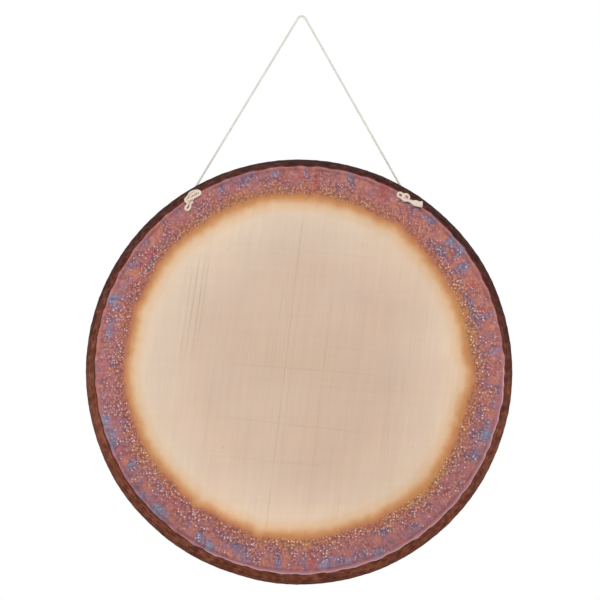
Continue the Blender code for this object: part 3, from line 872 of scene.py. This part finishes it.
def paintPlate(data):
    places = np.zeros(len(data.vertices) * 3)
    data.vertices.foreach_get("co", places)
    places = places.reshape(-1, 3)
    radius = np.hypot(places[:, 0], places[:, 2])
    seen = np.degrees(np.arctan2(places[:, 2], places[:, 0])) % 360
    blue = np.zeros(len(places))
    for middle, out, width, breadth, strength in tint["patches"]:
        blue += strength * around(seen, middle, 1.3 * width) * np.exp(-((radius / mm - out) / (1.25 * breadth)) ** 2)
    storeValues(data, "blueHeat", np.clip(blue, 0, 1))
    # where the crease carries its painted highlight
    creaseLit = sum(strength * around(seen, middle, width) for middle, strength, width in tint["creaseSheen"])
    storeValues(data, "creaseSheen", np.clip(creaseLit, 0, 1))
    gold = sum(strength * around(seen, middle, width) for middle, strength, width in tint["goldAt"])
    storeValues(data, "goldHeat", np.clip(gold, 0, 1))
    strayed = sum(amount * around(seen, middle, width) for middle, amount, width in tint["edge"])
    storeValues(data, "tintReach", strayed * np.clip((radius / mm - 150) / 60, 0, 1))


def ringPlace(nodes, x, y, z):
    # the place carried out to one circle, with the distance from the middle as depth: marks on it turn with the rim
    flat = nodes.add("ShaderNodeCombineXYZ", {0: x, 2: z}).outputs[0]
    radius = nodes.length(flat)
    ways = nodes.add("ShaderNodeVectorMath", {0: flat}, operation="NORMALIZE").outputs[0]
    circle = nodes.scaled(ways, (0.265, 0.265, 0.265))
    return radius, circle


def frontMaterial():
    material, nodes = newMaterial("heatTintedBronze")
    place = nodes.place()
    x, y, z = nodes.split(place)
    flat = nodes.add("ShaderNodeCombineXYZ", {0: x, 1: z}).outputs[0]
    radius, circle = ringPlace(nodes, x, y, z)
    fromPlate = nodes.math("MULTIPLY", radius, 1000.0)
    tintPlace = nodes.add("ShaderNodeVectorMath", {0: flat, 1: (-tint["middle"][0] * mm, -tint["middle"][1] * mm, 0)},
                          operation="ADD").outputs[0]
    wander = nodes.math("MULTIPLY", nodes.math("SUBTRACT", nodes.noise(place, 24.0, 2.0), 0.5), 6.0)
    ripple = nodes.math("MULTIPLY", nodes.math("SUBTRACT", nodes.noise(place, 70.0, 3.0), 0.5), 9.0)
    tintRadius = nodes.math("MULTIPLY", nodes.length(tintPlace), 1000.0)
    tintRadius = nodes.math("ADD", nodes.math("ADD", tintRadius, wander), ripple)
    tintRadius = nodes.math("SUBTRACT", tintRadius, nodes.stored("tintReach"))
    leaning = nodes.math("SUBTRACT", x, nodes.math("MULTIPLY", z, tint["grooveLean"]))
    brushPlace = nodes.add("ShaderNodeCombineXYZ", {0: leaning, 1: nodes.math("MULTIPLY", z, 0.03)}).outputs[0]
    grain = nodes.noise(brushPlace, 620.0, 3.0, 0.6)
    tintRadius = nodes.math("ADD", tintRadius, nodes.math("MULTIPLY", nodes.math("SUBTRACT", grain, 0.5), 5.0))

    # heat rings out to the band
    high = tint["rings"][-1][0]
    rings = nodes.ramp(nodes.math("DIVIDE", tintRadius, high), [(where / high, colour) for where, colour in tint["rings"]])

    # the ground centre: brushed up and down, with a few deeper grinding marks painted as a line of shade with a painted
    # highlight beside each
    streaks = nodes.noise(brushPlace, 130.0, 3.0, 0.65)
    crossPlace = nodes.add("ShaderNodeCombineXYZ", {0: nodes.math("MULTIPLY", x, 0.05), 1: z}).outputs[0]
    crossing = nodes.noise(crossPlace, 110.0, 3.0, 0.6)
    broad = nodes.noise(place, 8.0, 2.0)
    shade = nodes.math("ADD", nodes.math("MULTIPLY", nodes.math("SUBTRACT", streaks, 0.5), 0.12),
                       nodes.math("MULTIPLY", nodes.math("SUBTRACT", crossing, 0.5), 0.07))
    shade = nodes.math("ADD", shade, nodes.math("MULTIPLY", nodes.math("SUBTRACT", grain, 0.5), 0.13))
    shade = nodes.math("ADD", shade, nodes.math("MULTIPLY", nodes.math("SUBTRACT", broad, 0.5), 0.2))
    grooves = None
    for across, lowest, highest, width, strength, lean in tint["grooves"]:
        leant = nodes.math("SUBTRACT", x, nodes.math("MULTIPLY", z, lean))
        off = nodes.math("ABSOLUTE", nodes.math("SUBTRACT", leant, across * mm))
        line = nodes.fit(off, width * mm * 0.8, 0.0, 0.0, strength)
        # a painted highlight along the side of each groove
        beside = nodes.math("ABSOLUTE", nodes.math("SUBTRACT", leant, (across + 1.35 * width) * mm))
        line = nodes.math("SUBTRACT", line, nodes.fit(beside, width * mm * 0.9, 0.0, 0.0, strength * 0.55))
        start = nodes.fit(z, (lowest - 18) * mm, (lowest + 18) * mm)
        stop = nodes.fit(z, (highest + 18) * mm, (highest - 18) * mm)
        line = nodes.math("MULTIPLY", line, nodes.math("MULTIPLY", start, stop))
        grooves = line if grooves is None else nodes.math("ADD", grooves, line)
    uneven = nodes.fitLine(nodes.noise(nodes.scaled(place, (1.0, 1.0, 0.5)), 60.0, 3.0), 0.35, 0.65, 0.45, 1.3)
    grooves = nodes.math("MULTIPLY", grooves, uneven)
    for right, up, length, angle, width, strength in tint["marks"]:
        grooves = nodes.math("MAXIMUM", grooves, nodes.stroke(flat, right, up, length, angle, width, strength))
    # painted shade: a darker square in the middle of the ground
    left, right, low, high, squareShade = tint["handledCordAndShadedSquare"]
    soft = 7.0
    shadedSquare = nodes.math("MULTIPLY", nodes.fit(x, (left - soft) * mm, (left + soft) * mm), nodes.fit(x, (right + soft) * mm, (right - soft) * mm))
    shadedSquare = nodes.math("MULTIPLY", shadedSquare, nodes.math("MULTIPLY", nodes.fit(z, (low - soft) * mm, (low + soft) * mm),
                                                       nodes.fit(z, (high + 5 * soft) * mm, (high - soft) * mm)))
    shade = nodes.math("SUBTRACT", shade, nodes.math("MULTIPLY", shadedSquare, squareShade))
    # painted light: lighter on the left, darker on the right and a little darker low down
    shade = nodes.math("ADD", shade, nodes.math("ADD", nodes.fit(x, -0.2, 0.2, 0.028, -0.037), nodes.fit(z, -0.2, 0.05, -0.012, 0.0)))
    inGround = nodes.fit(fromPlate, 246.0, 226.0)
    shade = nodes.math("MULTIPLY", shade, inGround)
    ground = nodes.mix(1.0, rings, nodes.grey(nodes.math("ADD", shade, 1.0)), "MULTIPLY")
    grooves = nodes.math("MULTIPLY", grooves, inGround)
    # painted shade in the grooves and dents, and a painted highlight beside the grooves
    ground = nodes.mix(nodes.math("MULTIPLY", grooves, 0.3, clamp=True), ground, tint["grooveShadow"])
    ground = nodes.mix(nodes.math("MULTIPLY", grooves, -0.45, clamp=True), ground, (250, 236, 216))
    cool = nodes.math("ADD", nodes.fitLine(nodes.noise(place, 11.0, 3.0), 0.35, 0.65), nodes.fit(nodes.math("SUBTRACT", z, x), -0.15, 0.25, -0.3, 0.4))
    warmth = nodes.ramp(cool, [(0.0, (255, 251, 250)), (1.0, (252, 253, 255))])
    ground = nodes.mix(inGround, ground, nodes.mix(1.0, ground, warmth, "MULTIPLY"))

    # the peened band: rose and salmon, with blue and violet blooms and red smears, stretched outwards from the middle
    blotchPlace = nodes.add("ShaderNodeVectorMath", {0: circle, 1: nodes.add("ShaderNodeCombineXYZ", {1: nodes.math("MULTIPLY", radius, 0.62)}).outputs[0]},
                            operation="ADD").outputs[0]
    speckle = nodes.noise(place, 420.0, 2.0, 0.6)
    cells, cellDraw, cellGleam = nodes.cells(flat, 1000.0 / tint["cellSize"])
    fineCells, fineDraw, fineGleam = nodes.cells(flat, 1000.0 / (0.68 * tint["cellSize"]))
    grains = nodes.math("ADD", nodes.math("MULTIPLY", nodes.math("SUBTRACT", speckle, 0.5), 0.5),
                        nodes.math("MULTIPLY", nodes.math("SUBTRACT", cellDraw, 0.5), 0.35))
    salmon = nodes.fitLine(nodes.noise(blotchPlace, 85.0, 3.0, 0.6, 0.6), 0.25, 0.75)
    upperRight = nodes.fit(nodes.math("ADD", x, z), 0.28, 0.37, 0.0, -0.14)
    salmonAt = nodes.math("ADD", nodes.fit(fromPlate, 246.0, 264.0, -0.1, 0.04), upperRight)
    mottle = nodes.ramp(nodes.math("ADD", nodes.math("ADD", salmon, grains), salmonAt), tint["mottle"])
    reds = nodes.noise(blotchPlace, 58.0, 3.0, 0.6, 0.8)
    mottle = nodes.mix(nodes.fit(reds, 0.55, 0.68, 0.0, 0.6), mottle, tint["red"])
    bloomNoise = nodes.noise(blotchPlace, 48.0, 3.0, 0.6, 0.5)
    fineBloom = nodes.math("MULTIPLY", nodes.math("SUBTRACT", nodes.noise(blotchPlace, 120.0, 2.0, 0.5, 0.4), 0.5),
                           nodes.fit(fromPlate, 262.0, 274.0, 0.15, 0.6))
    bloomNoise = nodes.math("ADD", bloomNoise, fineBloom)
    bloom = nodes.math("ADD", nodes.math("ADD", nodes.fitLine(bloomNoise, 0.0, 1.0, 0.11, 0.82),
                                         nodes.math("MULTIPLY", nodes.stored("blueHeat"), 0.42)),
                       nodes.math("MULTIPLY", grains, 0.14))
    blooming = nodes.fit(fromPlate, 244.0, 256.0)
    bloomed = nodes.math("MULTIPLY", nodes.fit(bloom, 0.46, 0.7, 0.0, 0.9), blooming)
    mottle = nodes.mix(bloomed, mottle, nodes.ramp(nodes.fitLine(bloom, 0.5, 0.92), tint["bloom"]))
    deep = nodes.math("MULTIPLY", bloomed, nodes.fit(fromPlate, 272.0, 258.0, 0.0, 0.45))
    mottle = nodes.mix(deep, mottle, (104, 74, 100))
    mottle = nodes.mix(nodes.fit(fromPlate, 276.0, 285.0, 0.0, 0.15), mottle, tint["outer"])
    patchesAndLight = nodes.fitLine(nodes.noise(blotchPlace, 150.0, 3.0, 0.65, 0.4), 0.3, 0.7, -0.24, 0.24)
    patchesAndLight = nodes.math("MULTIPLY", patchesAndLight, nodes.fit(fromPlate, 262.0, 276.0, 0.2, 1.0))
    # painted light: the band lighter at the far left and right and towards the top, darker to the lower right
    sides = nodes.math("ADD", nodes.fit(x, -0.225, -0.27, 0.0, 0.11), nodes.fit(x, 0.235, 0.275, 0.0, 0.045))
    lightByPlace = nodes.math("ADD", nodes.fit(z, -0.05, 0.2, -0.01, 0.055),
                         nodes.fit(nodes.math("SUBTRACT", x, z), 0.25, 0.37, 0.0, -0.04))
    patchesAndLight = nodes.math("ADD", nodes.math("ADD", patchesAndLight, nodes.math("ADD", sides, lightByPlace)), 1.0)
    mottle = nodes.mix(1.0, mottle, nodes.grey(patchesAndLight), "MULTIPLY")
    mottle = nodes.mix(nodes.fit(tintRadius, 259.0, 247.0, 0.0, 0.5), mottle, (170, 102, 78))
    golden = nodes.math("MULTIPLY", nodes.stored("goldHeat"), nodes.fit(tintRadius, 236.0, 242.0))
    golden = nodes.math("MULTIPLY", golden, nodes.fit(nodes.math("ADD", tintRadius, nodes.math("MULTIPLY", salmon, 12.0)), 268.0, 252.0))
    colour = nodes.mix(nodes.fit(tintRadius, 238.5, 249.0), ground, mottle)
    colour = nodes.mix(nodes.math("MULTIPLY", golden, 0.75), colour, tint["gold"])

    # peening marks: some carry a painted glint, partly bright metal where the blow scraped the patina, most where the
    # band starts and in the blue, and painted shade on the ridges between
    crowd = nodes.fitLine(nodes.noise(place, 45.0, 2.0), 0.35, 0.65, 0.0, 0.6)
    near = nodes.fit(tintRadius, 292.0, 250.0, 0.0, 0.5)
    crowded = nodes.math("ADD", nodes.math("ADD", crowd, near), nodes.math("MULTIPLY", bloomed, 0.3))
    peened = nodes.math("MULTIPLY", nodes.fit(tintRadius, 241.0, 247.0), nodes.fit(fromPlate, 287.0, 281.0))
    # the painted glints are dimmer at the top than low down and at the sides
    lower = nodes.fit(nodes.math("ADD", z, nodes.math("MULTIPLY", nodes.math("ABSOLUTE", x), -0.35)), 0.15, 0.05, 0.35, 1.0)
    lit = nodes.math("MULTIPLY", nodes.fit(nodes.math("ADD", cellDraw, crowded), 1.08, 1.6),
                     nodes.math("MULTIPLY", nodes.math("POWER", cellGleam, 1.7), lower))
    fineLit = nodes.math("MULTIPLY", nodes.fit(nodes.math("ADD", fineDraw, crowded), 1.15, 1.8),
                         nodes.fitLine(nodes.math("POWER", fineGleam, 2.0), 0.0, 1.0, 0.1, 0.85))
    paintedGlint = nodes.math("MAXIMUM", nodes.math("MULTIPLY", nodes.fit(cells, 0.32, 0.12), lit),
                      nodes.math("MULTIPLY", nodes.fit(fineCells, 0.34, 0.12), fineLit))
    paintedGlint = nodes.math("MULTIPLY", paintedGlint, peened)
    # painted shade on the ridges between the peening marks
    peenShade = nodes.math("MAXIMUM", nodes.fit(cells, 0.24, 0.6), nodes.math("MULTIPLY", nodes.fit(fineCells, 0.3, 0.6), 0.6))
    peenShade = nodes.math("MULTIPLY", nodes.math("MULTIPLY", peenShade, peened), nodes.fit(crowded, 0.3, 0.9, 0.3, 1.0))
    colour = nodes.mix(nodes.math("MULTIPLY", peenShade, 0.5), colour, tint["plum"])
    colour = nodes.mix(paintedGlint, colour, tint["glint"])

    # the fold has a painted highlight along the crease low down and on the right, and is dark with scale elsewhere
    fold = nodes.stored("acrossFold")
    creaseSheen = nodes.math("ADD", nodes.stored("creaseSheen"), nodes.math("MULTIPLY", nodes.math("SUBTRACT", nodes.noise(place, 55.0, 3.0), 0.5), 1.1))
    creaseLit = nodes.fit(creaseSheen, 0.2, 0.75)
    # painted shade: a dark maroon strip on the band just inside the fold, weaker at the far left and right
    creaseShade = nodes.math("MULTIPLY", nodes.fit(fromPlate, 279.5, 282.5), nodes.fit(fromPlate, 286.5, 284.0))
    creaseShade = nodes.math("MULTIPLY", creaseShade, nodes.fitLine(nodes.noise(place, 50.0, 2.0), 0.3, 0.65, 0.12, 0.55))
    creaseShade = nodes.math("MULTIPLY", creaseShade, nodes.fit(nodes.math("ABSOLUTE", x), 0.28, 0.25, 0.3, 1.0))
    colour = nodes.mix(creaseShade, colour, (112, 60, 66))
    # a soft painted highlight on the band just inside the crease
    softCreaseSheen = nodes.math("MULTIPLY", nodes.fit(fromPlate, 283.5, 285.5), nodes.math("MULTIPLY", creaseLit, 0.5))
    colour = nodes.mix(softCreaseSheen, colour, (172, 122, 132))
    colour = nodes.mix(nodes.math("MULTIPLY", nodes.fit(fold, 0.22, 0.42), nodes.math("MULTIPLY", creaseLit, 0.95)), colour, tint["creaseHighlight"])
    # the scale draws back where the painted highlight is
    scaled = nodes.math("SUBTRACT", fold, nodes.math("MULTIPLY", creaseLit, 0.22))
    colour = nodes.mix(nodes.fit(scaled, 0.3, 0.55), colour, tint["scale"])

    rough = nodes.fit(tintRadius, 232.0, 250.0, 0.40, 0.33)
    rough = nodes.math("ADD", rough, nodes.math("MULTIPLY", nodes.math("SUBTRACT", speckle, 0.5), 0.15))
    dishes = nodes.math("MULTIPLY", nodes.math("POWER", cells, 2.0), peened)
    groundBump = nodes.math("MULTIPLY", nodes.math("SUBTRACT", grain, nodes.math("MULTIPLY", grooves, 1.5)), inGround)
    normal = nodes.bump(groundBump, 0.03 * mm, 0.5)
    normal = nodes.bump(dishes, 0.4 * mm, 1.0, normal)
    nodes.end(**{"Base Color": colour, "Roughness": rough, "Metallic": 0.85, "Normal": normal})
    return material


def rimMaterial():
    material, nodes = newMaterial("hammerScale")
    place = nodes.place()
    x, y, z = nodes.split(place)
    radius, circle = ringPlace(nodes, x, y, z)
    rimPlace = nodes.add("ShaderNodeVectorMath", {0: circle, 1: nodes.add("ShaderNodeCombineXYZ", {1: nodes.math("MULTIPLY", y, 0.8)}).outputs[0]},
                         operation="ADD").outputs[0]
    marks = nodes.noise(rimPlace, 75.0, 4.0, 0.65, 0.4)
    fine = nodes.noise(place, 300.0, 3.0, 0.6)
    streakPlace = nodes.add("ShaderNodeCombineXYZ", {0: nodes.math("MULTIPLY", radius, 2.0), 1: y}).outputs[0]
    streakPlace = nodes.add("ShaderNodeVectorMath", {0: nodes.scaled(circle, (0.3, 0.3, 0.3)), 1: streakPlace}, operation="ADD").outputs[0]
    streaks = nodes.noise(streakPlace, 420.0, 3.0, 0.65)
    value = nodes.math("ADD", nodes.fitLine(marks, 0.12, 0.88), nodes.math("MULTIPLY", nodes.math("SUBTRACT", fine, 0.5), 0.4))
    value = nodes.math("ADD", value, nodes.math("MULTIPLY", nodes.math("SUBTRACT", streaks, 0.5), 0.7))
    value = nodes.math("ADD", value, nodes.math("MULTIPLY", nodes.stored("hollow"), 0.3))
    # painted shade: darker at the top of the rim and lighter low down
    value = nodes.math("ADD", value, nodes.fit(z, -0.1, 0.2, 0.14, -0.34))
    # painted light: lighter on the left
    value = nodes.math("ADD", value, nodes.fit(nodes.math("SUBTRACT", nodes.math("MULTIPLY", z, 0.5), x), 0.12, 0.3, 0.0, 0.16))
    colour = nodes.ramp(value, tint["rim"])
    # darker towards the rear edge, most at the top, where it is painted shade
    rear = nodes.math("MULTIPLY", nodes.fit(y, 0.014, 0.037), nodes.fit(z, -0.12, 0.15, 0.3, 0.8))
    colour = nodes.mix(rear, colour, (44, 20, 15))
    # painted shadow on the rim just behind the fold
    colour = nodes.mix(nodes.fit(y, 5.5 * mm, 2.5 * mm, 0.0, 0.3), colour, (60, 26, 22))
    nodes.end(**{"Base Color": colour, "Roughness": nodes.fitLine(fine, 0.3, 0.7, 0.5, 0.68), "Normal": nodes.bump(fine, 0.2 * mm, 0.6)})
    nodes.shader.inputs["Specular IOR Level"].default_value = 0.02
    return material


def backMaterial():
    material, nodes = newMaterial("hammeredBack")
    place = nodes.place()
    mix = nodes.math("ADD", nodes.fitLine(nodes.noise(place, 24.0, 4.0, 0.6), 0.15, 0.85),
                     nodes.math("MULTIPLY", nodes.math("SUBTRACT", nodes.noise(place, 170.0, 3.0), 0.5), 0.6))
    mix = nodes.math("ADD", mix, nodes.math("MULTIPLY", nodes.stored("hollow"), 0.42))
    fine = nodes.noise(place, 500.0, 2.0)
    colour = nodes.ramp(mix, tint["back"])
    nodes.end(**{"Base Color": colour, "Roughness": nodes.fitLine(fine, 0.3, 0.7, 0.36, 0.5), "Normal": nodes.bump(fine, 0.1 * mm, 0.5)})
    nodes.shader.inputs["Metallic"].default_value = 0.8
    return material


def chooseFinish(data):
    # each face takes the front, the rim or the back finish
    stored = {}
    for name in ("acrossFold", "backSide"):
        stored[name] = np.zeros(len(data.vertices))
        data.attributes[name].data.foreach_get("value", stored[name])
    for face in data.polygons:
        corners = list(face.vertices)
        if stored["backSide"][corners].mean() > 0.5:
            face.material_index = 2
        elif stored["acrossFold"][corners].mean() > 0.8:
            face.material_index = 1
        else:
            face.material_index = 0


def buildPlate():
    table, zones, across, faces = plateMesh()
    places, hollow = shapePlate(table, zones)
    data = bpy.data.meshes.new("gongPlate")
    data.from_pydata(places.tolist(), [], faces)
    data.update()
    storeValues(data, "backSide", np.char.endswith(zones, "Back").astype(float))
    storeValues(data, "acrossFold", across)
    storeValues(data, "hollow", hollow)
    piece = bpy.data.objects.new("gongPlate", data)
    bpy.context.scene.collection.objects.link(piece)
    drillHoles(piece)
    paintPlate(piece.data)
    piece.data.materials.clear()
    for material in (frontMaterial(), rimMaterial(), backMaterial()):
        piece.data.materials.append(material)
    chooseFinish(piece.data)
    piece.data.shade_smooth()
    piece.data.set_sharp_from_angle(angle=math.radians(50))
    piece.matrix_world = platePlace
    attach(piece, "gong")
    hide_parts("gong_plate")
    print(f"plate: {sum(len(face.vertices) - 2 for face in piece.data.polygons)} triangles")


room = {
    "floorDepth": 1.75,
    "floorGlow": 0.3,          # lifts the floor towards the white behind it where it is seen, not on the object
    "skyLow": 1.1,             # how strongly the white room lights what isn't a mirror: level with it, and overhead
    "skyHigh": 0.5,
    "front": 1.5,              # the big soft lamp behind the camera, in watts
    "sides": 2.5,
    "low": 0.9,
}


def addLamp(name, place, aim, size, power, colour=(255, 255, 255)):
    data = bpy.data.lights.new(name, "AREA")
    data.shape = "RECTANGLE"
    data.size, data.size_y = size
    data.energy = power
    data.color = srgb(*colour)[:3]
    lamp = bpy.data.objects.new(name, data)
    bpy.context.scene.collection.objects.link(lamp)
    lamp.location = place
    lamp.rotation_euler = (Vector(aim) - Vector(place)).to_track_quat("-Z", "Y").to_euler()
    lamp.visible_camera = False
    return lamp


def addRoom():
    middle = platePlace.translation
    addLamp("frontLamp", (0.0, -2.4, -0.62), middle, (1.9, 1.9), room["front"])
    addLamp("leftLamp", (-2.2, -0.9, 0.3), middle, (0.9, 1.6), room["sides"])
    addLamp("rightLamp", (2.2, -0.9, 0.3), middle, (0.9, 1.6), room["sides"])
    addLamp("lowLamp", (0.0, -1.0, -1.7), middle, (1.8, 0.6), room["low"])
    world = bpy.data.worlds.new("studio")
    bpy.context.scene.world = world
    world.use_nodes = True
    tree = world.node_tree
    shade = tree.nodes["Background"]
    white = tree.nodes.new("ShaderNodeBackground")
    white.inputs["Strength"].default_value = 1.0
    white.inputs["Color"].default_value = (1, 1, 1, 1)
    shade.inputs["Color"].default_value = (1, 1, 1, 1)
    upwards = tree.nodes.new("ShaderNodeSeparateXYZ")
    tree.links.new(tree.nodes.new("ShaderNodeTexCoord").outputs["Generated"], upwards.inputs[0])
    sky = tree.nodes.new("ShaderNodeMapRange")
    for socket, value in enumerate((0.0, 0.8, room["skyLow"], room["skyHigh"]), 1):
        sky.inputs[socket].default_value = value
    tree.links.new(upwards.outputs["Z"], sky.inputs[0])
    tree.links.new(sky.outputs[0], shade.inputs["Strength"])
    mixed = tree.nodes.new("ShaderNodeMixShader")
    tree.links.new(seenRays(tree), mixed.inputs[0])
    tree.links.new(shade.outputs[0], mixed.inputs[1])
    tree.links.new(white.outputs[0], mixed.inputs[2])
    tree.links.new(mixed.outputs[0], tree.nodes["World Output"].inputs["Surface"])
    bpy.ops.mesh.primitive_plane_add(size=12.0, location=(0.0, 1.0, -room["floorDepth"]))
    floor = bpy.context.object
    floor.name = "floor"
    material, nodes = newMaterial("floorWhite")
    nodes.end(**{"Base Color": srgb(240, 240, 238), "Roughness": 0.9, "Emission Strength": nodes.math("MULTIPLY", seenRays(nodes.tree), room["floorGlow"])})
    nodes.shader.inputs["Emission Color"].default_value = (1, 1, 1, 1)
    floor.data.materials.append(material)


braid = braidMaterial("braidedCord", (240, 237, 227), (253, 250, 242), (212, 206, 194))
handledCordAndShadedSquare = braidMaterial("handledCord", (250, 227, 209), (255, 243, 228), (222, 194, 172))
for side in (-1, 1):
    buildCord(side, braid, handledCordAndShadedSquare)
print("cord made")
buildPlate()
print("plate made")
addRoom()
scene = bpy.context.scene
scene.view_settings.view_transform = "Standard"
